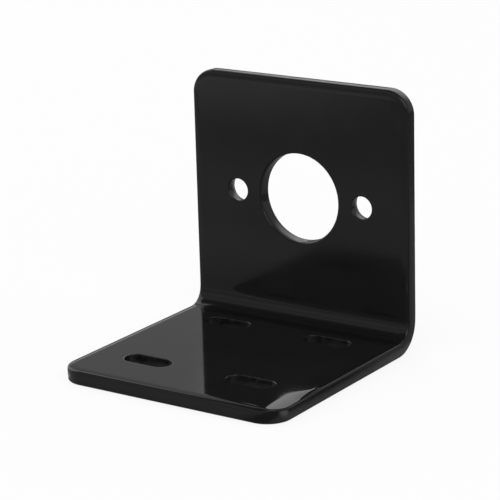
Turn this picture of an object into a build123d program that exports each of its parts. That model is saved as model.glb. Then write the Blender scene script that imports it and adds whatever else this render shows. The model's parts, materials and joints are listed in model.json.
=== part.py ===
from build123d import *
import os

# Motor mounting bracket: one punched sheet-steel blank, folded once to an L. Millimetres.
#
# X runs across the bracket, +Y towards the upright's outer face and +Z up. The origin is at the
# middle of the box's bottom: the base lies on the ground plane, and the upright rises from its
# rear edge. The motor lies over the base, with its face against the upright's inner face.

# The folded sheet
width = 50.0                      # across, the same for the base and the upright
base_depth = 50.0                 # from the base's front edge to the upright's outer face
upright_height = 52.0             # from the base's underside to the upright's top edge
sheet_thickness = 3.0
inner_bend_radius = 3.5
base_corner_radius = 5.0          # the base's two front corners, seen from above
upright_corner_radius = 5.0       # the upright's two top corners, seen from the front

# The edges: a blanking punch draws down the faces that it enters more than those it leaves
inner_rim_radius = 0.6            # round the outline of the L's inner faces
outer_rim_radius = 0.5            # round the outline of the L's outer faces
hole_rim_radius = 0.3             # round each hole and slot, on both faces
largest_rim_share = 0.45          # of the thickness, so that a flat band is left between two rims

# The motor's holes in the upright
motor_boss_diameter = 17.5
motor_boss_clearance = 0.5        # on the diameter
motor_shaft_height = 28.0         # above the base's underside
motor_screw_pitch = 29.0
motor_screw_diameter = 4.0
motor_screw_clearance = 0.5       # on the diameter

# The four slots in the base, long across the bracket
base_screw_diameter = 4.0
base_screw_clearance = 0.3        # on the slot's width
slot_travel = 6.0                 # how far a screw can shift along its slot
slot_pitch_across = 23.6
slot_pitch_along = 26.5
front_slot_setback = 11.5         # from the base's front edge to the front slots' centres

# Worked out from the sizes above
outer_bend_radius = inner_bend_radius + sheet_thickness
front_edge_y = -base_depth / 2
outer_face_y = base_depth / 2
inner_face_y = outer_face_y - sheet_thickness
boss_hole_radius = (motor_boss_diameter + motor_boss_clearance) / 2
screw_hole_radius = (motor_screw_diameter + motor_screw_clearance) / 2
slot_width = base_screw_diameter + base_screw_clearance
slots_middle_y = front_edge_y + front_slot_setback + slot_pitch_along / 2


def l_section():
    """The sheet seen from its side, drawn flat: depth to the right and height upwards."""
    section = make_face(Polyline(
        (front_edge_y, 0),
        (outer_face_y, 0),
        (outer_face_y, upright_height),
        (inner_face_y, upright_height),
        (inner_face_y, sheet_thickness),
        (front_edge_y, sheet_thickness),
        close=True,
    ))
    outer_fold = section.vertices().sort_by_distance((outer_face_y, 0))[0]
    section = fillet(outer_fold, outer_bend_radius)
    inner_fold = section.vertices().sort_by_distance((inner_face_y, sheet_thickness))[0]
    return fillet(inner_fold, inner_bend_radius)


def folded_sheet():
    """The L with its four free corners rounded, still with sharp edges and no holes."""
    sheet = extrude(Plane.YZ * l_section(), amount=width / 2, both=True)
    front_corners = sheet.edges().filter_by(Axis.Z).sort_by(Axis.Y)[:2]
    sheet = fillet(front_corners, base_corner_radius)
    top_corners = sheet.edges().filter_by(Axis.Y).sort_by(Axis.Z)[-2:]
    return fillet(top_corners, upright_corner_radius)


def round_edges(edges, radius):
    """Rounds some of the sheet's edges, no further than its thickness leaves room for."""
    return fillet(edges, min(radius, largest_rim_share * sheet_thickness))


def outline_edges(sheet, side):
    """The closed run of edges round the base, the bend and the upright: side 0 outer, 1 inner."""
    outer_faces_meet = (0, outer_face_y, 0)
    base = sheet.faces().filter_by(Axis.Z).sort_by(Axis.Z)[side]
    bend = sheet.faces().filter_by(GeomType.CYLINDER).sort_by_distance(outer_faces_meet)[side]
    upright = sheet.faces().filter_by(Axis.Y).sort_by(Axis.Y, reverse=True)[side]
    edges = base.edges() + bend.edges() + upright.edges()
    return [edge for edge in edges if sum(edge.is_same(other) for other in edges) == 1]


def round_outline(sheet):
    """Rounds the sheet's whole outline, on its outer faces and then on its inner ones."""
    for side, radius in enumerate((outer_rim_radius, inner_rim_radius)):
        sheet = round_edges(outline_edges(sheet, side), radius)
    return sheet


def motor_hole_cutters():
    """Rods along Y: one for the hole round the motor's boss, two for its screws."""
    holes = Circle(boss_hole_radius)
    holes += GridLocations(motor_screw_pitch, 0, 2, 1) * Circle(screw_hole_radius)
    upright_plane = Plane((0, inner_face_y, motor_shaft_height), x_dir=(1, 0, 0), z_dir=(0, 1, 0))
    return extrude(upright_plane * holes, amount=2 * sheet_thickness, both=True)


def base_slot_cutters():
    """Bars along Z for the four slots."""
    places = GridLocations(slot_pitch_across, slot_pitch_along, 2, 2)
    slots = Sketch() + places * SlotCenterToCenter(slot_travel, slot_width)
    return extrude(Pos(0, slots_middle_y) * slots, amount=2 * sheet_thickness, both=True)


def punch(sheet, cutters):
    """Cuts holes through the sheet and rounds their rims."""
    punched = sheet - cutters
    return round_edges(new_edges(sheet, cutters, combined=punched), hole_rim_radius)


def main():
    bracket = round_outline(folded_sheet())
    bracket = punch(bracket, motor_hole_cutters())
    bracket = punch(bracket, base_slot_cutters())
    bracket.label = "bracket"
    os.makedirs("parts", exist_ok=True)
    export_step(bracket, "parts/bracket.step")


main()
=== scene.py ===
import json
import math

import bpy
import numpy as np
from mathutils import Matrix, Vector, noise
from mathutils.geometry import delaunay_2d_cdt


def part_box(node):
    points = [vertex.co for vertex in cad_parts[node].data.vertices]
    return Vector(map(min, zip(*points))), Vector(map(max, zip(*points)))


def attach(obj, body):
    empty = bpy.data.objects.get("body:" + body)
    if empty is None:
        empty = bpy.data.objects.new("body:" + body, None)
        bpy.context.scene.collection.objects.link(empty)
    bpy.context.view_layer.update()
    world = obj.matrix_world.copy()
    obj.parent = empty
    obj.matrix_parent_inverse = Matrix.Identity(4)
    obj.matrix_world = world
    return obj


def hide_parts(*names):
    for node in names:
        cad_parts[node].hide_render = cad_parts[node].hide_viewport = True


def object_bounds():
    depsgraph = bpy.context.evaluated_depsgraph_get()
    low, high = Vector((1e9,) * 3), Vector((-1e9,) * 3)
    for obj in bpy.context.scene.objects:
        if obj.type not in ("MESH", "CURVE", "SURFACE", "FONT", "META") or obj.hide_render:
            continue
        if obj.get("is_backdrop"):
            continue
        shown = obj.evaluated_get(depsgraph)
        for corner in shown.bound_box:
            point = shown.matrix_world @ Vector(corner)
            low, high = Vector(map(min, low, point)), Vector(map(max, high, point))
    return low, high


bl_info = {
    "name": "Motor mounting bracket",
    "version": (1, 0, 0),
    "blender": (4, 5, 0),
    "location": "3D View > Sidebar > Bracket",
    "description": "Builds a folded sheet-steel motor bracket, painted gloss black, and its studio",
    "category": "Add Mesh",
}

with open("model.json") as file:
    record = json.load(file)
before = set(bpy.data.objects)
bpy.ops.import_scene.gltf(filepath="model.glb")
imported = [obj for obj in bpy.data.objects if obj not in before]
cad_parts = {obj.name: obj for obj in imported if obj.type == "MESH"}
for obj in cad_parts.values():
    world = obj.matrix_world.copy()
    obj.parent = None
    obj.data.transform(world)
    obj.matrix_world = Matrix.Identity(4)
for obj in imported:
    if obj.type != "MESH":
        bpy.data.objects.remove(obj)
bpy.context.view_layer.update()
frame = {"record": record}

MM = 0.001
MOUNTS = {mount["name"]: mount for mount in frame["record"]["mounts"]}
LOW, HIGH = (np.array(corner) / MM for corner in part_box("bracket"))


def mount_place(name):
    """Where a mount of the packed record lies, in millimetres."""
    return [value / MM for value in MOUNTS[name]["pos_m"]]


# ---------------------------------------------------------------- settings


class SheetSizes(bpy.types.PropertyGroup):
    """The folded sheet and its edges, in millimetres."""

    width: bpy.props.FloatProperty(
        name="Width", description="Across the base and the upright", default=HIGH[0] - LOW[0])
    depth: bpy.props.FloatProperty(
        name="Depth", description="Front edge of the base to outer face of the upright",
        default=HIGH[1] - LOW[1])
    height: bpy.props.FloatProperty(
        name="Height", description="Underside of the base to top of the upright",
        default=HIGH[2] - LOW[2])
    thickness: bpy.props.FloatProperty(
        name="Thickness", description="Sheet and paint",
        default=mount_place("outer_face")[1] - mount_place("motor_face")[1])
    bend_radius: bpy.props.FloatProperty(
        name="Inner bend radius", description="On the motor's side, where the fold is tightest",
        default=3.2)
    bend_start: bpy.props.FloatProperty(
        name="Bend start", description="Share of the fold in which it tightens, on the base",
        default=0.08, subtype="FACTOR")
    bend_ease: bpy.props.FloatProperty(
        name="Bend ease", description="Share of the fold in which it eases out, on the upright",
        default=0.35, subtype="FACTOR")
    corner_radius: bpy.props.FloatProperty(
        name="Corner radius", description="At the four free corners", default=5.0)
    inner_rim: bpy.props.FloatVectorProperty(
        name="Inner rim", size=3, default=(0.45, 8.0, 1.8),
        description="Radii round the outline on the motor's side: its knee, and what eases it "
                    "into the face and into the wall")
    outer_rim: bpy.props.FloatProperty(
        name="Outer rim", description="Rounding of the outline on the outer side", default=0.5)
    hole_rim: bpy.props.FloatProperty(
        name="Hole rim", description="Rounding of each hole and slot on the outer side",
        default=0.3)


class PressMarks(bpy.types.PropertyGroup):
    """What the blanking punch leaves on the sheet, in millimetres."""

    base_dip: bpy.props.FloatVectorProperty(
        name="Base corner dip", size=5, default=(3.7, 0.48, 17.0, 9.0, 2.0),
        description="Along the right edge, from its front corner: width, depth, length, the "
                    "length over which it runs out, and how it deepens towards the edge")
    upright_dip: bpy.props.FloatVectorProperty(
        name="Upright corner dip", size=5, default=(3.9, 0.38, 13.0, 9.5, 1.35),
        description="The same, from the right edge's top corner")
    corner_rim: bpy.props.FloatVectorProperty(
        name="Corner rim", description="As the inner rim, round the base's right corner", size=3,
        default=(0.22, 1.0, 0.3))
    front_rim: bpy.props.FloatVectorProperty(
        name="Front rim", description="Three radii of the rim beside the base's right front corner",
        size=3, default=(0.9, 4.0, 1.8))
    crown: bpy.props.FloatProperty(
        name="Edge crown", description="How far the middle of an edge stands proud", default=0.012)
    tear_slope: bpy.props.FloatProperty(
        name="Tear slope", description="How far the torn part of an edge draws in", default=0.02)
    screw_hole_flare: bpy.props.FloatProperty(
        name="Screw hole flare", description="How far the torn part of a screw hole opens out",
        default=0.45)
    boss_hole_flare: bpy.props.FloatProperty(
        name="Boss hole flare", description="How far the torn part of the boss hole opens out",
        default=0.02)
    slot_rim: bpy.props.FloatVectorProperty(
        name="Slot rim", description="As the inner rim, round each slot", size=3,
        default=(0.2, 0.4, 0.0))
    boss_rim: bpy.props.FloatVectorProperty(
        name="Boss hole rim", description="As the inner rim, round the boss hole", size=3,
        default=(0.3, 0.0, 5.0))
    screw_rim: bpy.props.FloatVectorProperty(
        name="Screw hole rim", description="As the inner rim, round each screw hole", size=3,
        default=(0.3, 0.0, 0.0))
    # Painted sheen: this share of the pale tone lightens the slots' walls
    slot_thinness_and_sheen: bpy.props.FloatProperty(
        name="Slot thinness", description="How thin the paint lies on the slots' walls",
        default=0.04, subtype="FACTOR")
    # Painted sheen: this share of the pale tone lightens the screw holes' walls
    screw_thinness_and_sheen: bpy.props.FloatProperty(
        name="Screw hole thinness", description="How thin the paint lies in the screw holes",
        default=1.0, subtype="FACTOR")
    tear_roughness: bpy.props.FloatProperty(
        name="Tear roughness", description="Waves of the torn part under the paint",
        default=0.11)


class HoleSizes(bpy.types.PropertyGroup):
    """The motor's holes and the base's slots, in millimetres."""

    boss_radius: bpy.props.FloatProperty(
        name="Boss hole radius", description="Round the motor's boss",
        default=MOUNTS["boss_hole"]["dims"]["r_mm"])
    boss_height: bpy.props.FloatProperty(
        name="Boss hole height", description="Of its centre, above the underside",
        default=mount_place("boss_hole")[2])
    screw_radius: bpy.props.FloatProperty(
        name="Screw hole radius", description="Of the two holes beside the boss hole",
        default=MOUNTS["motor_screw_holes"]["dims"]["hole_r_mm"])
    screw_pitch: bpy.props.FloatProperty(
        name="Screw hole pitch", description="Centre to centre",
        default=MOUNTS["motor_screw_holes"]["dims"]["spacing_x_mm"])
    slot_radius: bpy.props.FloatProperty(
        name="Slot end radius", description="Half a slot's width",
        default=MOUNTS["base_slots"]["dims"]["hole_r_mm"])
    slot_length: bpy.props.FloatProperty(
        name="Slot length", description="End to end",
        default=MOUNTS["base_slots"]["dims"]["slot_length_mm"])
    slot_pitch_across: bpy.props.FloatProperty(
        name="Slot pitch across", description="Between the two columns",
        default=MOUNTS["base_slots"]["dims"]["spacing_x_mm"])
    slot_pitch_along: bpy.props.FloatProperty(
        name="Slot pitch along", description="Between the two rows",
        default=MOUNTS["base_slots"]["dims"]["spacing_y_mm"])
    slot_middle: bpy.props.FloatProperty(
        name="Slot middle", description="Of the four slots, along the depth",
        default=mount_place("base_slots")[1])


class PaintLook(bpy.types.PropertyGroup):
    """The gloss black powder paint."""

    black: bpy.props.FloatVectorProperty(
        name="Black", description="The paint's deeper tone", subtype="COLOR",
        default=(0.0057, 0.0057, 0.0058))
    soft_black: bpy.props.FloatVectorProperty(
        name="Soft black", description="The paint's paler tone", subtype="COLOR",
        default=(0.0078, 0.0078, 0.008))
    # Painted sheen: this pale tone lightens the holes' torn walls, where the paint also lies thin
    thin_sheen_tone: bpy.props.FloatVectorProperty(
        name="Thin tone", description="Of the paint where it lies thin on sheared walls",
        subtype="COLOR", default=(0.25, 0.25, 0.25))
    gloss: bpy.props.FloatProperty(
        name="Gloss roughness", description="On the base, where the film flowed out flat",
        default=0.06)
    haze: bpy.props.FloatProperty(
        name="Haze roughness", description="On the upright, where the film hung", default=0.13)
    peel_size: bpy.props.FloatProperty(
        name="Orange peel size", description="Width of its waves, in millimetres", default=1.6)
    peel_height: bpy.props.FloatProperty(
        name="Orange peel height", description="Of its waves, in millimetres", default=0.0035)


class StudioLook(bpy.types.PropertyGroup):
    """The floor, the light and the camera."""

    floor_side: bpy.props.FloatProperty(
        name="Floor side", description="Of the square floor", default=6.0, unit="LENGTH")
    floor_colour: bpy.props.FloatVectorProperty(
        name="Floor colour", description="Of the pale floor", subtype="COLOR",
        default=(0.93, 0.93, 0.93))
    floor_lift: bpy.props.FloatProperty(
        name="Floor lift", description="Share of the floor's white that its shade leaves alone",
        default=0.86)
    mirrored_floor: bpy.props.FloatProperty(
        name="Mirrored floor", description="Scale of the floor's tones as the paint mirrors them",
        default=1.0)
    # Painted light: a paler floor in the paint, right beside the bracket
    painted_contact_light: bpy.props.FloatProperty(
        name="Contact tone", description="Added to the mirrored floor right beside the bracket",
        default=0.48)
    # Painted light: the floor under the bracket, as the paint mirrors it, is lifted out of its
    # shade
    painted_underside_light: bpy.props.FloatProperty(
        name="Underside tone", description="Of the mirrored floor under the bracket", default=0.35)
    # Painted light: a glow on the floor by the right corner, seen only in the paint
    painted_corner_glow: bpy.props.FloatProperty(
        name="Corner glow", description="Added to the mirrored floor beside the right corner",
        default=1.1)
    mirrored_room: bpy.props.FloatProperty(
        name="Mirrored room", description="Tone of the dim room at the right behind the bracket",
        default=0.45)
    room_light: bpy.props.FloatProperty(
        name="Room light", description="Strength of the even light from all round", default=1.07)
    key_power: bpy.props.FloatProperty(
        name="Key power", description="Of the soft light at the left", default=3.0,
        unit="POWER")
    fill_power: bpy.props.FloatProperty(
        name="Fill power", description="Of the soft light at the front right", default=2.1,
        unit="POWER")
    azimuth: bpy.props.FloatProperty(
        name="Azimuth", description="Of the camera, from the front towards +X",
        default=math.radians(34.567), subtype="ANGLE")
    elevation: bpy.props.FloatProperty(
        name="Elevation", description="Of the camera, above the horizon",
        default=math.radians(16.488), subtype="ANGLE")
    roll: bpy.props.FloatProperty(
        name="Roll", description="Of the camera about its line of sight",
        default=math.radians(-1.615), subtype="ANGLE")
    distance: bpy.props.FloatProperty(
        name="Distance", description="Camera to the point it looks at", default=0.42764,
        unit="LENGTH")
    focal_length: bpy.props.FloatProperty(
        name="Focal length", description="In millimetres on a 36 mm sensor", default=160.15)
    aim: bpy.props.FloatVectorProperty(
        name="Aim", description="The point that the camera looks at", subtype="XYZ",
        unit="LENGTH", default=(-0.00024, 0.005, 0.02184))


# ---------------------------------------------------------------- the blank

# The sheet is laid out flat first, as the press punches it: u runs across it, s runs from the
# base's front edge through the bend to the upright's top edge, and n runs through the thickness,
# from 0 on the outer face to the full thickness on the motor's side.

THIN_PAINT_AND_SHEEN = "thin_paint_and_sheen"  # how thin the paint lies at each vertex, from 0 to 1, and how much painted sheen it takes
FACE_MARGIN = 4.5          # ring of fine faces inside the outline
HOLE_MARGIN = 1.3          # ring of fine faces round each hole
EDGE_STEP = 0.5            # along straight edges
FACE_STEP = 2.0            # over the flat faces
ARC_STEPS = 26             # in each rounded corner
BEND_STEPS = 48
FOLD_SAMPLES = 2001
FACE_RINGS = 16            # inside the outline's rim, where the inner face dips
PLAIN_RINGS = 4            # inside the other rims
RIM_STEPS = 20             # round a rim on the motor's side
OUTER_RIM_STEPS = 12       # round a rim on the outer side
RIM_SAMPLES = 401          # in working out an eased rim
RIM_EASE = math.radians(30)  # how much of its turn eases it into the face, and into the wall
WALL_STEPS = 7             # down the sheared wall
TEAR_STARTS = 0.4          # share of the wall that the punch leaves smooth
THIN_SMOOTH = 0.04         # the most that the paint thins, and takes painted sheen, on that smooth part
CORNER_REACH = 2.0         # from the right edge the corner's rim is full up to here, gone at twice
FRONT_REACH = 9.0          # the same for the rim beside the corner
DIP_STEP = 0.002           # each way, in working out a dip's slope
WALL_FACING = 0.3          # how far a point's normal turns outwards where it counts as wall
BROAD_WAVES = (0.4, 0.4, 0.3)   # of a torn wall, per millimetre along u, s and n
FINE_WAVES = (1.1, 1.1, 0.5)
FINE_SHARE = 0.35
TORN_FOOT = 0.6            # height over which the tearing runs out towards the outer face
GRID_CLEARANCE = 0.4       # of a face step, between a hole's ring and the grid
MEETING_GAP = 1e-6         # points nearer than this would count as one


class Blank:
    """Lengths of the flat blank, and how it folds.

    The fold starts tight on the base and eases out into the upright, as sheet springs back from
    the press brake. Its outer faces still end on the sides of the row's box.
    """

    def __init__(self, sheet):
        self.width, self.thickness = sheet.width, sheet.thickness
        self.front_y, self.floor_z = LOW[1], LOW[2]
        half_sheet = sheet.thickness / 2
        steps = np.linspace(0.0, 1.0, FOLD_SAMPLES)
        tightness = np.minimum(steps / sheet.bend_start, 1.0)
        eased = np.clip((1.0 - steps) / sheet.bend_ease, 0.0, 1.0)
        tightness = tightness * eased * eased * (3.0 - 2.0 * eased)
        turn = self.added_up(tightness, 1.0 / (FOLD_SAMPLES - 1))
        self.bend = (sheet.bend_radius + half_sheet) * turn[-1] ** -1 * math.pi / 2
        turn *= math.pi / 2 / turn[-1]
        spacing = self.bend / (FOLD_SAMPLES - 1)
        forward, upward = self.added_up(np.cos(turn), spacing), self.added_up(np.sin(turn), spacing)
        self.base = sheet.depth - half_sheet - forward[-1]
        self.bend_height = half_sheet + upward[-1]
        self.upright_starts = self.base + self.bend
        self.length = self.upright_starts + sheet.height - self.bend_height
        self.path_s = self.base + steps * self.bend
        self.path_y = self.base + forward
        self.path_z = half_sheet + upward
        self.path_turn = turn

    @staticmethod
    def added_up(values, spacing):
        middles = (values[1:] + values[:-1]) / 2
        return np.concatenate([[0.0], np.cumsum(middles)]) * spacing

    def fold(self, points, normals):
        """Places points and normals given as (u, s, n) on the folded sheet, in the row's frame."""
        u, s, n = points.T
        turn = np.interp(s, self.path_s, self.path_turn)
        before_bend = np.minimum(s - self.base, 0.0)
        past_bend = np.maximum(s - self.upright_starts, 0.0)
        from_middle = n - self.thickness / 2
        y = np.interp(s, self.path_s, self.path_y) + before_bend - from_middle * np.sin(turn)
        z = np.interp(s, self.path_s, self.path_z) + past_bend + from_middle * np.cos(turn)
        placed = np.stack([u, y + self.front_y, z + self.floor_z], axis=1)
        across, down_sheet, through = normals.T
        turned = np.stack([
            across,
            down_sheet * np.cos(turn) - through * np.sin(turn),
            down_sheet * np.sin(turn) + through * np.cos(turn),
        ], axis=1)
        return placed, turned


def arc(centre, radius, start, stop, steps):
    """Points and outward directions round part of a circle, without the last point."""
    angles = np.radians(np.linspace(start, stop, steps, endpoint=False))
    out = np.stack([np.cos(angles), np.sin(angles)], axis=1)
    return np.array(centre) + radius * out, out


def run(start, stop, steps, out):
    """Points along a straight edge, without the last one, all with the same outward direction."""
    share = np.linspace(0.0, 1.0, steps, endpoint=False)[:, None]
    points = np.array(start) + share * (np.array(stop) - np.array(start))
    return points, np.tile(np.array(out, float), (steps, 1))


def outline_loop(blank, corner):
    """The blank's outline, anticlockwise from the base's front left, with outward directions.

    Returns the points, the directions and the indices of the bend's stations on the right side
    and on the left side, both listed from the base towards the upright.
    """
    half, length = blank.width / 2, blank.length
    base_steps = round((blank.base - corner) / EDGE_STEP)
    upright_steps = round((length - corner - blank.upright_starts) / EDGE_STEP)
    across_steps = round((blank.width - 2 * corner) / EDGE_STEP)
    parts = [
        run((corner - half, 0), (half - corner, 0), across_steps, (0, -1)),
        arc((half - corner, corner), corner, -90, 0, ARC_STEPS),
        run((half, corner), (half, blank.base), base_steps, (1, 0)),
        run((half, blank.base), (half, blank.upright_starts), BEND_STEPS, (1, 0)),
        run((half, blank.upright_starts), (half, length - corner), upright_steps, (1, 0)),
        arc((half - corner, length - corner), corner, 0, 90, ARC_STEPS),
        run((half - corner, length), (corner - half, length), across_steps, (0, 1)),
        arc((corner - half, length - corner), corner, 90, 180, ARC_STEPS),
        run((-half, length - corner), (-half, blank.upright_starts), upright_steps, (-1, 0)),
        run((-half, blank.upright_starts), (-half, blank.base), BEND_STEPS, (-1, 0)),
        run((-half, blank.base), (-half, corner), base_steps, (-1, 0)),
        arc((corner - half, corner), corner, 180, 270, ARC_STEPS),
    ]
    starts = np.cumsum([0] + [len(points) for points, _ in parts])
    right = np.arange(starts[3], starts[4] + 1)
    left = np.arange(starts[9], starts[10] + 1)[::-1]
    points = np.concatenate([points for points, _ in parts])
    out = np.concatenate([out for _, out in parts])
    return points, out, right, left


def slot_loop(centre, radius, half_travel):
    """A slot's or hole's edge, clockwise, with directions that point away from the metal."""
    end_steps = 2 * ARC_STEPS
    right, right_out = arc((half_travel, 0), radius, 90, -90, end_steps)
    left, left_out = arc((-half_travel, 0), radius, 270, 90, end_steps)
    parts, outs = [right, left], [-right_out, -left_out]
    if half_travel:
        steps = round(2 * half_travel / EDGE_STEP) + 2
        lower, lower_out = run((half_travel, -radius), (-half_travel, -radius), steps, (0, 1))
        upper, upper_out = run((-half_travel, radius), (half_travel, radius), steps, (0, -1))
        parts, outs = [right, lower, left, upper], [-right_out, lower_out, -left_out, upper_out]
    return np.array(centre) + np.concatenate(parts), np.concatenate(outs)


class Hole:
    """One punched hole: its middle on the blank, its radius and half of how far it is stretched.

    Its rim on the motor's side is given by three radii. Its torn part opens by the flare, and
    the paint there thins, with a painted sheen, by the given share.
    """

    def __init__(self, middle, radius, rim, flare, thinness_and_sheen=0.0, half_travel=0.0):
        self.middle, self.radius, self.half_travel = middle, radius, half_travel
        self.rim, self.flare, self.thinness_and_sheen = rim, flare, thinness_and_sheen

    def loop(self):
        return slot_loop(self.middle, self.radius, self.half_travel)

    def gap(self, points):
        """How far each point (u, s) lies from the hole's wall, negative inside the hole."""
        local = points - np.array(self.middle)
        beyond = np.maximum(np.abs(local[:, 0]) - self.half_travel, 0.0)
        return np.hypot(beyond, local[:, 1]) - self.radius


def punched_holes(blank, sizes, marks):
    """The holes of the base and those of the upright."""
    slot_half_travel = sizes.slot_length / 2 - sizes.slot_radius
    slots_middle = sizes.slot_middle - blank.front_y
    base_holes = [
        Hole((side * sizes.slot_pitch_across / 2, slots_middle + row * sizes.slot_pitch_along / 2),
             sizes.slot_radius, marks.slot_rim, marks.tear_slope, marks.slot_thinness_and_sheen,
             slot_half_travel)
        for row in (-1, 1) for side in (-1, 1)
    ]
    shaft = blank.upright_starts + sizes.boss_height - blank.bend_height
    upright_holes = [Hole((0.0, shaft), sizes.boss_radius, marks.boss_rim, marks.boss_hole_flare)]
    upright_holes += [
        Hole((side * sizes.screw_pitch / 2, shaft), sizes.screw_radius, marks.screw_rim,
             marks.screw_hole_flare, marks.screw_thinness_and_sheen)
        for side in (-1, 1)
    ]
    return base_holes, upright_holes


# ---------------------------------------------------------------- the edges


def eased_rim(rim):
    """How far in and how far down each point round a rim lies, from the face to the wall.

    The rim turns tightly at its knee, and slowly where it leaves the face and meets the wall.
    """
    knee, face_ease, wall_ease = rim
    turn = np.linspace(0.0, math.pi / 2, RIM_SAMPLES)
    into_face = np.clip(1.0 - turn / RIM_EASE, 0.0, 1.0)
    radius = knee + face_ease * into_face ** 2 + wall_ease * into_face[::-1] ** 2
    outwards = Blank.added_up(radius * np.cos(turn), turn[1])
    down = Blank.added_up(radius * np.sin(turn), turn[1])
    chosen = np.linspace(0, RIM_SAMPLES - 1, RIM_STEPS).astype(int)
    return outwards[-1] - outwards[chosen], down[chosen]


def ring_insets(start, margin, rings):
    """Insets of the rings on a face, from the margin to just short of the rim's start."""
    return start + (margin - start) * np.linspace(1.0, 0.0, rings, endpoint=False) ** 1.5


def edge_profile(thickness, margin, rings, inner_rim, outer_rim, crown, draw_in):
    """The section through an edge: inset from the wall, height, and the section's normal.

    It runs over the inner face, round its rim, down the wall, round the other rim and back over
    the outer face. The wall draws in below the part that the punch leaves smooth.
    """
    rim_inset, rim_drop = eased_rim(inner_rim)
    bend = np.linspace(0.0, math.pi / 2, OUTER_RIM_STEPS)
    inner_start = crown + rim_inset[0]
    inner_face = ring_insets(inner_start, margin, rings)
    wall_top, wall_foot = thickness - rim_drop[-1], outer_rim
    wall = np.linspace(wall_top, wall_foot, WALL_STEPS + 2)[1:-1]
    torn = np.clip((wall_top - wall) / (wall_top - wall_foot) - TEAR_STARTS, 0.0, 1.0)
    from_crown = 2.0 * (wall - wall_foot) / (wall_top - wall_foot) - 1.0
    wall_inset = crown * from_crown ** 2 + draw_in * torn / (1.0 - TEAR_STARTS)
    outer_face = ring_insets(crown + draw_in + outer_rim, margin, PLAIN_RINGS)[::-1]
    inset = np.concatenate([
        inner_face,
        crown + rim_inset,
        wall_inset,
        crown + draw_in + outer_rim * (1 - np.cos(bend)),
        outer_face,
    ])
    height = np.concatenate([
        np.full(rings, thickness),
        thickness - rim_drop,
        wall,
        outer_rim * (1 - np.sin(bend)),
        np.zeros(PLAIN_RINGS),
    ])
    travelled = np.concatenate([[0.0], np.cumsum(np.hypot(np.diff(inset), np.diff(height)))])
    outwards = -np.gradient(inset, travelled)
    upwards = np.gradient(height, travelled)
    normal = np.stack([-upwards, outwards], axis=1)
    normal /= np.linalg.norm(normal, axis=1)[:, None]
    return inset, height, normal


def blended_profile(first, second, share):
    """A profile for each point of a loop: the first where its share is 0, the second where 1."""
    inset, height, normal = (
        a + share.reshape([-1] + [1] * b.ndim) * (b - a) for a, b in zip(first, second))
    return inset, height, normal / np.linalg.norm(normal, axis=2)[:, :, None]


class FaceDip:
    """How far the inner face dips along the right edge, beside its free corners."""

    def __init__(self, blank, marks):
        self.blank, self.marks = blank, marks

    def depth(self, points):
        side_gap = self.blank.width / 2 - points[:, 0]
        gaps = (points[:, 1], self.blank.length - points[:, 1])
        depth = np.zeros(len(points))
        for end_gap, dip in zip(gaps, (self.marks.base_dip, self.marks.upright_dip)):
            width, deepest, length, fade, power = dip
            share = np.clip((length - end_gap) / fade, 0.02, 1.0)
            share = share * share * (3 - 2 * share)
            beside = np.clip(1.0 - side_gap / (width * share), 0.0, 1.0)
            depth += deepest * share * beside ** power
        return depth

    def corner_share(self, points, reach):
        """How far each point of the outline belongs to the base's right corner."""
        length, fade = self.marks.base_dip[2:4]
        along = np.clip((length - points[:, 1]) / fade, 0.0, 1.0)
        across = np.clip(2.0 - (self.blank.width / 2 - points[:, 0]) / reach, 0.0, 1.0)
        return along * across

    def slope(self, points):
        """The dip's gradient over (u, s), by small steps each way."""
        across, along = np.array([DIP_STEP, 0.0]), np.array([0.0, DIP_STEP])
        return np.stack([
            self.depth(points + across) - self.depth(points - across),
            self.depth(points + along) - self.depth(points - along),
        ], axis=1) / (2 * DIP_STEP)


class SheetMesh:
    """Collects the blank's vertices, normals and faces."""

    def __init__(self, blank):
        self.blank = blank
        self.points, self.normals, self.thinness_and_sheen, self.faces = [], [], [], []
        self.count = 0

    def add(self, points, normals, thinness_and_sheen=0.0):
        """Adds vertices and returns their indices."""
        self.points.append(points)
        self.normals.append(normals)
        self.thinness_and_sheen.append(np.broadcast_to(thinness_and_sheen, len(points)))
        self.count += len(points)
        return np.arange(self.count - len(points), self.count)

    def add_face_points(self, flat_points, height):
        """Adds points (u, s) on the inner or the outer face."""
        points = np.column_stack([flat_points, np.full(len(flat_points), height)])
        up = 1.0 if height > 0 else -1.0
        normals = np.tile([0.0, 0.0, up], (len(points), 1))
        return self.add(points, normals)

    def to_object(self, name):
        placed, turned = self.blank.fold(np.concatenate(self.points), np.concatenate(self.normals))
        mesh = bpy.data.meshes.new(name)
        mesh.from_pydata((placed * MM).tolist(), [], self.faces)
        mesh.validate()
        mesh.shade_smooth()
        turned /= np.linalg.norm(turned, axis=1)[:, None]
        mesh.normals_split_custom_set_from_vertices(turned.tolist())
        thinness_and_sheen = mesh.attributes.new(THIN_PAINT_AND_SHEEN, "FLOAT", "POINT")
        thinness_and_sheen.data.foreach_set("value", np.concatenate(self.thinness_and_sheen).astype(np.float32))
        mesh.update()
        piece = bpy.data.objects.new(name, mesh)
        bpy.context.scene.collection.objects.link(piece)
        return piece


def grid_normals(points):
    """Normals of a closed strip of points: rows run round the loop, columns across the section."""
    round_loop = np.roll(points, -1, axis=0) - np.roll(points, 1, axis=0)
    over_edge = np.gradient(points, axis=1)
    normals = np.cross(over_edge, round_loop)
    return normals / np.linalg.norm(normals, axis=2)[:, :, None]


def torn_wall(points, height, thickness, roughness):
    """Waves under the paint of a sheared wall: how far each point is drawn in."""
    share = np.clip(1 - height / thickness, 0.0, 1.0) * np.clip(height / TORN_FOOT, 0.0, 1.0)
    broad, fine = (
        np.array([noise.noise(Vector(point)) for point in points * waves])
        for waves in (BROAD_WAVES, FINE_WAVES))
    return roughness * share * (0.5 + 0.5 * ((1 - FINE_SHARE) * broad + FINE_SHARE * fine))


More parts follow.
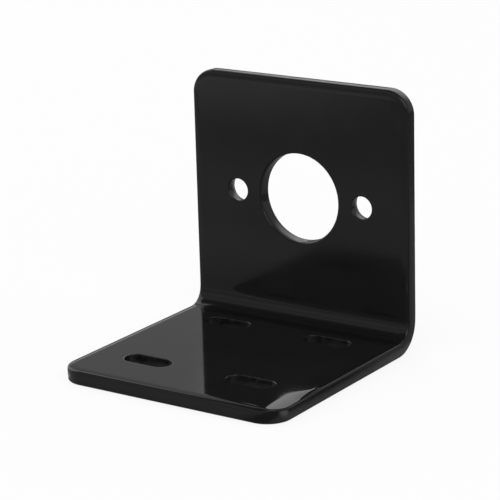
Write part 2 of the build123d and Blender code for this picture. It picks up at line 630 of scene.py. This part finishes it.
def add_edge(mesh, loop, out, profile, dip, marks, thinness_and_sheen=0.0):
    """Builds one edge's ring of faces and returns its vertices, one row for each loop point."""
    inset, height, section = profile
    rows, columns = len(loop), inset.shape[-1]
    inset = np.broadcast_to(inset, (rows, columns))
    height = np.broadcast_to(height, (rows, columns))
    section = np.broadcast_to(section, (rows, columns, 2))
    flat = loop[:, None, :] - out[:, None, :] * inset[:, :, None]
    flat_points = flat.reshape(-1, 2)
    thickness = mesh.blank.thickness
    share = np.clip((height - height.min()) / thickness, 0.0, 1.0)
    dips = dip.depth(flat_points).reshape(rows, columns) * share
    slopes = dip.slope(flat_points).reshape(rows, columns, 2)
    points = np.dstack([flat, height - dips])
    normals = np.dstack([
        out[:, None, :] * section[:, :, :1] + slopes * np.clip(section[:, :, 1:], 0.0, 1.0),
        section[:, :, 1],
    ])
    on_wall = np.abs(section[0, :, 0]) > WALL_FACING
    wall_points = points[:, on_wall].reshape(-1, 3)
    drawn = torn_wall(wall_points, wall_points[:, 2], thickness, marks.tear_roughness)
    torn = points.copy()
    pulled = out[:, None, :] * drawn.reshape(rows, -1)[:, :, None]
    torn[:, on_wall, :2] -= pulled
    normals = normals + grid_normals(torn) - grid_normals(points)
    torn_part = np.clip((1.0 - height / thickness - TEAR_STARTS) / TEAR_STARTS, 0.0, 1.0)
    # The paint's thinness also sets the painted sheen on a hole's torn wall
    thin = np.minimum(thinness_and_sheen, np.maximum(torn_part, THIN_SMOOTH) * on_wall).reshape(-1)
    vertices = mesh.add(torn.reshape(-1, 3), normals.reshape(-1, 3), thin).reshape(rows, columns)
    after = np.roll(vertices, -1, axis=0)
    quads = np.stack([vertices[:, :-1], vertices[:, 1:], after[:, 1:], after[:, :-1]], axis=2)
    mesh.faces.extend(quads.reshape(-1, 4).tolist())
    return vertices


# ---------------------------------------------------------------- the sheet

# Each edge comes back as the points (u, s) where its ring meets the flat faces, and the vertices
# there on the inner and on the outer face.


def add_outline(mesh, sheet, marks, dip, outline, out):
    """Builds the outline's edge, whose rim tightens towards the base's right front corner."""
    profile, front, corner = (
        edge_profile(sheet.thickness, FACE_MARGIN, FACE_RINGS, rim, sheet.outer_rim,
                     marks.crown, marks.tear_slope)
        for rim in (sheet.inner_rim, marks.front_rim, marks.corner_rim))
    for other, reach in ((front, FRONT_REACH), (corner, CORNER_REACH)):
        profile = blended_profile(profile, other, dip.corner_share(outline, reach))
    ring = add_edge(mesh, outline, out, profile, dip, marks)
    return outline - out * FACE_MARGIN, ring[:, [0, -1]]


def add_hole(mesh, sheet, marks, dip, hole):
    """Builds a hole's edge."""
    profile = edge_profile(sheet.thickness, HOLE_MARGIN, PLAIN_RINGS, hole.rim, sheet.hole_rim,
                           0.0, hole.flare)
    loop, out = hole.loop()
    ring = add_edge(mesh, loop, out, profile, dip, marks, hole.thinness_and_sheen)
    return loop - out * HOLE_MARGIN, ring[:, [0, -1]]


def add_bend(mesh, right, left, columns, stations):
    """Fills the bend between the two side edges, and returns its first and last rows' vertices.

    right and left hold the side edges' vertices at the bend's stations, on both faces.
    """
    faces = []
    for side, height in enumerate((mesh.blank.thickness, 0.0)):
        rows = []
        for left_end, right_end, s in zip(left[:, side], right[:, side], stations):
            middle = mesh.add_face_points(flat_row(columns, s), height)
            rows.append(np.concatenate([[left_end], middle, [right_end]]))
        rows = np.array(rows)
        quads = np.stack([rows[:-1, :-1], rows[:-1, 1:], rows[1:, 1:], rows[1:, :-1]], axis=2)
        quads = quads.reshape(-1, 4)
        mesh.faces.extend((quads[:, ::-1] if side else quads).tolist())
        faces.append(rows)
    return np.stack(faces, axis=-1)[[0, -1], 1:-1]


def flat_row(columns, s):
    """Points (u, s) across the blank."""
    return np.column_stack([columns, np.full(len(columns), s)])


def add_grid(mesh, low, high, half_width, holes):
    """Adds points spread over a panel, clear of its border and its holes."""
    columns = np.arange(-half_width + FACE_STEP, half_width - FACE_STEP / 2, FACE_STEP)
    rows = np.arange(low + FACE_STEP, high - FACE_STEP / 2, FACE_STEP)
    grid = np.stack(np.meshgrid(columns, rows), axis=-1).reshape(-1, 2)
    for hole in holes:
        grid = grid[hole.gap(grid) > HOLE_MARGIN + FACE_STEP * GRID_CLEARANCE]
    inner = mesh.add_face_points(grid, mesh.blank.thickness)
    return grid, np.stack([inner, mesh.add_face_points(grid, 0.0)], axis=1)


def fill_panel(mesh, border, rings, grid):
    """Fills one flat panel round its holes, on both faces.

    The border, each hole's ring and the grid are given as points (u, s) with their vertices on
    the inner and on the outer face.
    """
    groups = [border] + rings + [grid]
    flat = np.concatenate([points for points, _ in groups])
    inner, outer = np.concatenate([pairs for _, pairs in groups]).T
    ends = np.cumsum([len(points) for points, _ in groups])
    loops = [np.arange(end - len(points), end) for (points, _), end in zip(groups[:-1], ends)]
    edges = [(int(a), int(b)) for loop in loops for a, b in zip(loop, np.roll(loop, -1))]
    found = delaunay_2d_cdt([Vector(point) for point in flat], edges, [], 0, MEETING_GAP)
    if len(found[0]) != len(flat):
        raise RuntimeError("a flat panel's points meet or cross")
    triangles = np.array(found[2])
    for ring in loops[1:]:
        triangles = triangles[~np.isin(triangles, ring).all(axis=1)]
    a, b, c = (flat[triangles[:, k]] for k in range(3))
    turn = (b[:, 0] - a[:, 0]) * (c[:, 1] - a[:, 1]) - (b[:, 1] - a[:, 1]) * (c[:, 0] - a[:, 0])
    triangles[turn < 0] = triangles[turn < 0][:, ::-1]
    mesh.faces.extend(inner[triangles].tolist())
    mesh.faces.extend(outer[triangles[:, ::-1]].tolist())


def build_sheet_mesh(sheet, sizes, marks):
    """The whole bracket as one closed mesh: its edges, then the bend, the base and the upright."""
    blank = Blank(sheet)
    mesh = SheetMesh(blank)
    dip = FaceDip(blank, marks)
    outline, out, right, left = outline_loop(blank, sheet.corner_radius)
    flat, pairs = add_outline(mesh, sheet, marks, dip, outline, out)
    panel_holes = punched_holes(blank, sizes, marks)
    panel_rings = [[add_hole(mesh, sheet, marks, dip, hole) for hole in holes]
                   for holes in panel_holes]

    half = flat[right[0], 0]
    columns = np.linspace(-half, half, round(2 * half / FACE_STEP) + 1)[1:-1]
    stations = outline[right, 1]
    first_row, last_row = add_bend(mesh, pairs[right], pairs[left], columns, stations)

    corner = sheet.corner_radius
    base_part = np.r_[left[0]:len(outline), 0:right[0] + 1]
    upright_part = np.arange(right[-1], left[-1] + 1)
    panels = (
        (base_part, flat_row(columns, stations[0])[::-1], first_row[::-1], corner, blank.base),
        (upright_part, flat_row(columns, stations[-1]), last_row, blank.upright_starts,
         blank.length - corner),
    )
    for panel, holes, rings in zip(panels, panel_holes, panel_rings):
        part, row_flat, row_pairs, low, high = panel
        border = (np.concatenate([flat[part], row_flat]), np.concatenate([pairs[part], row_pairs]))
        fill_panel(mesh, border, rings, add_grid(mesh, low, high, half, holes))
    return mesh


# ---------------------------------------------------------------- materials

# What the paint mirrors, as (place, tone) stops where a tone of 1 is white. The floor's tones are
# painted
# light and shade that only the paint sees: they run from the front to the back, in metres from the
# bracket's middle, as bands of painted light and shade, with a painted shadow at the right in tones
# of its own. The room's run by the height of the direction: in front of the bracket, at the bright
# screen behind it, and at the wall beside that screen.
PAINTED_FLOOR_LIGHT_TONES = ((-0.5, 0.3), (-0.25, 0.43), (-0.155, 0.37), (-0.13, 0.26), (-0.115, 0.17),
               (-0.09, 0.235), (-0.07, 0.3), (-0.045, 0.26), (-0.034, 0.3), (-0.025, 0.33),
               (0.0, 0.26), (0.25, 0.12))
PAINTED_RIGHT_SHADOW_TONES = ((-0.034, 0.1), (-0.025, 0.07), (-0.012, 0.05), (0.003, 0.04), (0.0095, 0.1),
               (0.0165, 0.225), (0.03, 0.24), (0.11, 0.23), (0.14, 0.12), (0.25, 0.12))
FRONT_TONES = ((0.0, 0.24), (0.15, 0.32), (0.35, 0.42), (0.5, 0.42), (0.58, 0.28), (0.66, 0.4),
               (0.74, 0.36), (0.8, 0.12), (0.84, 0.05), (1.0, 0.05))
SCREEN_TONES = ((0.0, 0.2), (0.14, 0.2), (0.19, 1.2), (0.25, 1.2), (0.29, 0.85), (0.33, 1.1),
                (0.38, 1.56), (0.62, 1.56), (0.68, 0.6), (1.0, 0.5))
WALL_TONES = ((0.25, 0.44), (0.4, 0.47), (0.52, 0.5), (0.62, 0.54), (0.76, 0.6), (0.82, 0.1),
              (1.0, 0.05))

# Where the painted light and shade of the mirrored floor change, in metres from the bracket's
# middle.
# A pair says where a change starts and where it is complete.
FOOTPRINT = HIGH[0] * MM             # half the bracket's side
FOOTPRINT_BLUR = 0.0005              # each way
CONTACT_REACH = 0.0039               # of the painted light on the floor right beside the bracket
CONTACT_FRONT = (-0.0255, -0.0235)   # where that painted light starts, from the front
GLOW_PLACE = (0.03, -0.0205)         # of the painted glow on the floor by the right corner
GLOW_RADII = (0.001, 0.0045)
RIGHT_STARTS = (0.015, 0.02)         # of the painted shadow tones of the floor at the right, across
RIGHT_FRONT = (-0.034, -0.03)        # and from the front
FAR_FRONT = (-0.115, -0.14)          # of the far floor, whose painted tones also change across
FAR_SIDES = (-0.14, -0.08, 1.2, 0.5)   # how they do: a pair across, then the scale at each end

# Where the mirrored room changes, by the direction's slope to the side or by its height
SCREEN_LEAN = 0.35                   # of the screen's left side, with height
SCREEN_SIDE = (-0.59, -0.61)         # from the screen to the wall at its left
SCREEN_FOOT = (0.24, 0.27)           # height from which that wall shows beside the screen
DIM_ROOM = (0.0, 0.5)                # from the screen to the dim room at its right
BEHIND = (0.05, 0.25)                # depth of direction, from the room in front to the one behind
LEAST_DEPTH = 0.05                   # keeps the slope to the side from growing without end

# The paint's waves: their width in metres and how much finer detail they have
CLOUDS = (0.012, 3.0)
BLOTCHES = (0.0012, 3.0)
HAZE_WAVES = (0.004, 4.0)
HAZE_SPREAD = (0.85, 1.15)           # how these scale the roughness
GLOSS_HEIGHTS = (0.006, 0.012)       # above the floor, where the base's gloss gives way
PAINT_IOR = 1.5

# Each light's place and side, in metres
KEY_LIGHT = ((-1.15, 0.12, 0.55), 1.2)
FILL_LIGHT = ((0.85, -0.6, 0.7), 0.75)
NEAREST_SEEN = 0.01                  # by the camera


class Nodes:
    """Short ways to add and join shader nodes."""

    def __init__(self, tree):
        tree.nodes.clear()
        self.tree = tree

    def add(self, kind, **settings):
        node = self.tree.nodes.new(kind)
        for name, value in settings.items():
            setattr(node, name, value)
        return node

    def join(self, source, target):
        self.tree.links.new(source, target)

    def math(self, operation, *values):
        node = self.add("ShaderNodeMath", operation=operation)
        for socket, value in zip(node.inputs, values):
            if isinstance(value, (int, float)):
                socket.default_value = value
            else:
                self.join(value, socket)
        return node.outputs[0]

    def product(self, first, *others):
        for other in others:
            first = self.math("MULTIPLY", first, other)
        return first

    def squared_gap(self, value, middle):
        gap = self.math("SUBTRACT", value, middle)
        return self.product(gap, gap)

    def waves(self, place, size, detail=2.0):
        """Soft noise from 0 to 1 whose waves are about that wide, in metres."""
        node = self.add("ShaderNodeTexNoise")
        node.inputs["Scale"].default_value = 1.0 / size
        node.inputs["Detail"].default_value = detail
        self.join(place, node.inputs["Vector"])
        return node.outputs["Fac"]

    def spread(self, value, low, high, smooth=False):
        """Maps a value that mostly lies between 0.3 and 0.7 to the range from low to high."""
        return self.map_range(value, 0.3, 0.7, low, high, smooth)

    def map_range(self, value, from_low, from_high, low, high, smooth=False):
        node = self.add("ShaderNodeMapRange")
        node.interpolation_type = "SMOOTHSTEP" if smooth else "LINEAR"
        for name, number in (("From Min", from_low), ("From Max", from_high),
                             ("To Min", low), ("To Max", high)):
            node.inputs[name].default_value = number
        self.join(value, node.inputs["Value"])
        return node.outputs["Result"]

    def tones(self, value, stops):
        """Maps a value to tones by (value, tone) stops, in rising order."""
        low, high = stops[0][0], stops[-1][0]
        node = self.add("ShaderNodeValToRGB")
        elements = node.color_ramp.elements
        while len(elements) < len(stops):
            elements.new(0.5)
        for element, (at, tone) in zip(elements, stops):
            element.position = (at - low) / (high - low)
            element.color = (tone, tone, tone, 1.0)
        self.join(self.map_range(value, low, high, 0.0, 1.0), node.inputs["Fac"])
        return node.outputs["Color"]

    def blend(self, share, first, second):
        """The first value or node output where the share is 0, and the second where it is 1."""
        node = self.add("ShaderNodeMix")
        for socket, value in zip(node.inputs[:1] + node.inputs[2:4], (share, first, second)):
            if isinstance(value, (int, float)):
                socket.default_value = value
            else:
                self.join(value, socket)
        return node.outputs[0]

    def mix_colour(self, share, first, second):
        node = self.add("ShaderNodeMix", data_type="RGBA")
        self.join(share, node.inputs[0])
        for socket, colour in zip(node.inputs[6:8], (first, second)):
            if isinstance(colour, bpy.types.NodeSocket):
                self.join(colour, socket)
            else:
                socket.default_value = (*colour, 1.0)
        return node.outputs[2]


def gloss_black_paint(look):
    """Powder paint: near black, glossy, with faint cloudiness, haze and orange peel, and a painted
    sheen in a pale tone on the holes' torn walls, where it lies thin.
    """
    material = bpy.data.materials.new("gloss_black_paint")
    material.use_nodes = True
    nodes = Nodes(material.node_tree)
    place = nodes.add("ShaderNodeTexCoord").outputs["Object"]
    paint = nodes.add("ShaderNodeBsdfPrincipled")
    paint.inputs["IOR"].default_value = PAINT_IOR

    clouds = nodes.waves(place, *CLOUDS)
    thick = nodes.mix_colour(nodes.spread(clouds, 0.0, 1.0), look.black, look.soft_black)
    # Painted sheen: a pale tone on the torn walls of the holes, by how thin the paint lies there
    thinness_and_sheen = nodes.add("ShaderNodeAttribute", attribute_name=THIN_PAINT_AND_SHEEN).outputs["Fac"]
    blotches = nodes.spread(nodes.waves(place, *BLOTCHES), 0.0, 1.0, smooth=True)
    nodes.join(nodes.mix_colour(nodes.product(thinness_and_sheen, blotches), thick, look.thin_sheen_tone),
               paint.inputs["Base Color"])
    haze = nodes.spread(nodes.waves(place, *HAZE_WAVES), *HAZE_SPREAD)
    parts = nodes.add("ShaderNodeSeparateXYZ")
    nodes.join(place, parts.inputs[0])
    duller = nodes.map_range(parts.outputs["Z"], *GLOSS_HEIGHTS, look.gloss, look.haze, smooth=True)
    nodes.join(nodes.product(duller, haze), paint.inputs["Roughness"])

    peel = nodes.waves(place, look.peel_size * MM, 1.0)
    bump = nodes.add("ShaderNodeBump")
    bump.inputs["Strength"].default_value = 1.0
    bump.inputs["Distance"].default_value = look.peel_height * MM
    nodes.join(peel, bump.inputs["Height"])
    nodes.join(bump.outputs["Normal"], paint.inputs["Normal"])

    surface = nodes.add("ShaderNodeOutputMaterial")
    nodes.join(paint.outputs["BSDF"], surface.inputs["Surface"])
    return material


def pale_floor(look):
    """A pale matt floor that stays white to the camera under a faint shadow.

    The paint mirrors the floor, with its shadow, in tones of its own that change with place:
    painted bands of light and shade, a painted shadow at the right, painted light beside and under
    the bracket and a painted glow by its right corner.
    """
    material = bpy.data.materials.new("pale_floor")
    material.use_nodes = True
    nodes = Nodes(material.node_tree)
    ray = nodes.add("ShaderNodeLightPath")
    parts = nodes.add("ShaderNodeSeparateXYZ")
    nodes.join(nodes.add("ShaderNodeTexCoord").outputs["Object"], parts.inputs[0])
    x, y = parts.outputs["X"], parts.outputs["Y"]
    # Where the floor at the right takes its painted shadow tones
    at_right = nodes.product(nodes.map_range(x, *RIGHT_STARTS, 0.0, 1.0),
                             nodes.map_range(y, *RIGHT_FRONT, 0.0, 1.0))
    # Painted light and shade of the floor, as the paint mirrors it, from the front to the back
    along = nodes.blend(at_right, nodes.tones(y, PAINTED_FLOOR_LIGHT_TONES), nodes.tones(y, PAINTED_RIGHT_SHADOW_TONES))
    far = nodes.map_range(y, *FAR_FRONT, 0.0, 1.0, smooth=True)
    far_side = nodes.map_range(x, *FAR_SIDES, smooth=True)
    along = nodes.product(along, nodes.blend(far, 1.0, far_side))
    from_middle = nodes.math("MAXIMUM", nodes.math("ABSOLUTE", x), nodes.math("ABSOLUTE", y))
    # Painted light on the floor right beside the bracket
    beside = nodes.map_range(from_middle, FOOTPRINT, FOOTPRINT + CONTACT_REACH,
                             look.painted_contact_light, 0.0, smooth=True)
    beside = nodes.product(beside, nodes.map_range(y, *CONTACT_FRONT, 0.0, 1.0))
    # A painted glow on the floor by the bracket's right corner
    squares = [nodes.squared_gap(value, middle) for value, middle in zip((x, y), GLOW_PLACE)]
    from_glow = nodes.math("SQRT", nodes.math("ADD", *squares))
    glow = nodes.map_range(from_glow, *GLOW_RADII, look.painted_corner_glow, 0.0, smooth=True)
    beside = nodes.math("ADD", beside, glow)
    outside = nodes.map_range(from_middle, FOOTPRINT - FOOTPRINT_BLUR,
                              FOOTPRINT + FOOTPRINT_BLUR, 0.0, 1.0)
    # Painted light under the bracket, and the painted tones of the floor round it
    painted_floor_light = nodes.blend(outside, look.painted_underside_light, nodes.math("ADD", along, beside))
    painted_floor_light = nodes.product(painted_floor_light, look.mirrored_floor)

    matt = nodes.add("ShaderNodeBsdfDiffuse")
    tone = nodes.add("ShaderNodeMix", data_type="RGBA")
    nodes.join(ray.outputs["Is Glossy Ray"], tone.inputs[0])
    tone.inputs[6].default_value = (*look.floor_colour, 1.0)
    nodes.join(painted_floor_light, tone.inputs[7])
    nodes.join(tone.outputs[2], matt.inputs["Color"])
    white = nodes.add("ShaderNodeEmission")
    white.inputs["Strength"].default_value = 1.0
    seen = nodes.math("MAXIMUM", ray.outputs["Is Camera Ray"], ray.outputs["Is Transmission Ray"])
    lift = nodes.product(seen, look.floor_lift)
    mixed = nodes.add("ShaderNodeMixShader")
    nodes.join(lift, mixed.inputs[0])
    nodes.join(matt.outputs[0], mixed.inputs[1])
    nodes.join(white.outputs[0], mixed.inputs[2])
    surface = nodes.add("ShaderNodeOutputMaterial")
    nodes.join(mixed.outputs[0], surface.inputs["Surface"])
    return material


def studio_room(look):
    """White to the camera, an even soft light on matt surfaces, and a toned room in the paint.

    The paint mirrors dim walls, paler towards the left behind the bracket, and one tall screen
    behind it that is in part brighter than white.
    """
    world = bpy.data.worlds.new("studio_room")
    world.use_nodes = True
    nodes = Nodes(world.node_tree)
    ray = nodes.add("ShaderNodeLightPath")
    direction = nodes.add("ShaderNodeTexCoord").outputs["Generated"]
    parts = nodes.add("ShaderNodeSeparateXYZ")
    nodes.join(direction, parts.inputs[0])
    x, y, z = (parts.outputs[axis] for axis in "XYZ")

    sideways = nodes.math("DIVIDE", x, nodes.math("MAXIMUM", y, LEAST_DEPTH))
    leaning = nodes.math("ADD", sideways, nodes.product(z, SCREEN_LEAN))
    beside_screen = nodes.product(
        nodes.map_range(leaning, *SCREEN_SIDE, 0.0, 1.0, smooth=True),
        nodes.map_range(z, *SCREEN_FOOT, 0.0, 1.0, smooth=True))
    right_of_screen = nodes.map_range(sideways, *DIM_ROOM, 0.0, 1.0, smooth=True)
    back = nodes.blend(beside_screen, nodes.tones(z, SCREEN_TONES), nodes.tones(z, WALL_TONES))
    back = nodes.blend(right_of_screen, back, look.mirrored_room)
    behind = nodes.map_range(y, *BEHIND, 0.0, 1.0, smooth=True)
    mirrored = nodes.blend(behind, nodes.tones(z, FRONT_TONES), back)

    glossy = ray.outputs["Is Glossy Ray"]
    seen = nodes.math("MAXIMUM", ray.outputs["Is Camera Ray"], ray.outputs["Is Transmission Ray"])
    in_room = nodes.math("SUBTRACT", nodes.math("SUBTRACT", 1.0, glossy), seen)
    strength = nodes.math("ADD", nodes.product(glossy, mirrored), seen)
    strength = nodes.math("ADD", strength, nodes.product(in_room, look.room_light))
    light = nodes.add("ShaderNodeBackground")
    nodes.join(strength, light.inputs["Strength"])
    surface = nodes.add("ShaderNodeOutputWorld")
    nodes.join(light.outputs[0], surface.inputs["Surface"])
    return world


# ---------------------------------------------------------------- operators


class BuildBracket(bpy.types.Operator):
    """Build the punched, folded and painted sheet"""

    bl_idname = "motor_bracket.build_bracket"
    bl_label = "Build the bracket"

    def execute(self, context):
        scene = context.scene
        mesh = build_sheet_mesh(scene.bracket_sheet, scene.bracket_holes, scene.bracket_marks)
        piece = mesh.to_object("folded_bracket")
        piece.data.materials.append(gloss_black_paint(scene.bracket_paint))
        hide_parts("bracket")
        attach(piece, "root")
        return {"FINISHED"}


def soft_light(name, placing, target, power):
    """A square soft light that faces the target."""
    place, side = placing
    lamp = bpy.data.lights.new(name, "AREA")
    lamp.shape = "SQUARE"
    lamp.size = side
    lamp.energy = power
    light = bpy.data.objects.new(name, lamp)
    light.location = place
    light.rotation_euler = (Vector(target) - Vector(place)).to_track_quat("-Z", "Y").to_euler()
    bpy.context.scene.collection.objects.link(light)


def look_from(studio):
    """The camera's place and turn, from the angles that the settings give."""
    azimuth, elevation, roll = studio.azimuth, studio.elevation, studio.roll
    back = Vector((math.sin(azimuth) * math.cos(elevation),
                   -math.cos(azimuth) * math.cos(elevation), math.sin(elevation)))
    right = (-back).cross(Vector((0, 0, 1))).normalized()
    up = right.cross(-back)
    rolled_right = math.cos(roll) * right + math.sin(roll) * up
    rolled_up = math.cos(roll) * up - math.sin(roll) * right
    turn = Matrix((rolled_right, rolled_up, back)).transposed().to_4x4()
    place = Vector(studio.aim) + back * studio.distance
    return Matrix.Translation(place) @ turn


class BuildStudio(bpy.types.Operator):
    """Lay the floor, hang the lights and set up the camera"""

    bl_idname = "motor_bracket.build_studio"
    bl_label = "Build the studio"

    def execute(self, context):
        scene = context.scene
        studio = scene.bracket_studio
        low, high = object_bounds()
        middle = (low + high) / 2

        half = studio.floor_side / 2
        mesh = bpy.data.meshes.new("floor")
        mesh.from_pydata([(-half, -half, low.z), (half, -half, low.z), (half, half, low.z),
                          (-half, half, low.z)], [], [(0, 1, 2, 3)])
        floor = bpy.data.objects.new("floor", mesh)
        mesh.materials.append(pale_floor(studio))
        scene.collection.objects.link(floor)
        floor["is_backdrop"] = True

        soft_light("key_light", KEY_LIGHT, middle, studio.key_power)
        soft_light("fill_light", FILL_LIGHT, middle, studio.fill_power)
        scene.world = studio_room(studio)
        scene.view_settings.view_transform = "Standard"

        lens = bpy.data.cameras.new("camera")
        lens.lens = studio.focal_length
        lens.clip_start = NEAREST_SEEN
        camera = bpy.data.objects.new("camera", lens)
        camera.matrix_world = look_from(studio)
        scene.collection.objects.link(camera)
        scene.camera = camera
        return {"FINISHED"}


class BracketPanel(bpy.types.Panel):
    """Lists the steps and the settings that they read"""

    bl_idname = "VIEW3D_PT_motor_bracket"
    bl_label = "Motor mounting bracket"
    bl_space_type = "VIEW_3D"
    bl_region_type = "UI"
    bl_category = "Bracket"

    def draw(self, context):
        scene = context.scene
        for operator in (BuildBracket, BuildStudio):
            self.layout.operator(operator.bl_idname)
        for name, settings in SETTINGS.items():
            box = self.layout.box()
            box.label(text=settings.__doc__)
            for prop in settings.__annotations__:
                box.prop(getattr(scene, name), prop)


SETTINGS = {
    "bracket_sheet": SheetSizes,
    "bracket_marks": PressMarks,
    "bracket_holes": HoleSizes,
    "bracket_paint": PaintLook,
    "bracket_studio": StudioLook,
}
CLASSES = (*SETTINGS.values(), BuildBracket, BuildStudio, BracketPanel)


def register():
    for cls in CLASSES:
        bpy.utils.register_class(cls)
    for name, settings in SETTINGS.items():
        setattr(bpy.types.Scene, name, bpy.props.PointerProperty(type=settings))


def unregister():
    for name in SETTINGS:
        delattr(bpy.types.Scene, name)
    for cls in reversed(CLASSES):
        bpy.utils.unregister_class(cls)


def main():
    register()
    bpy.ops.motor_bracket.build_bracket()
    bpy.ops.motor_bracket.build_studio()


if __name__ == "__main__":
    main()
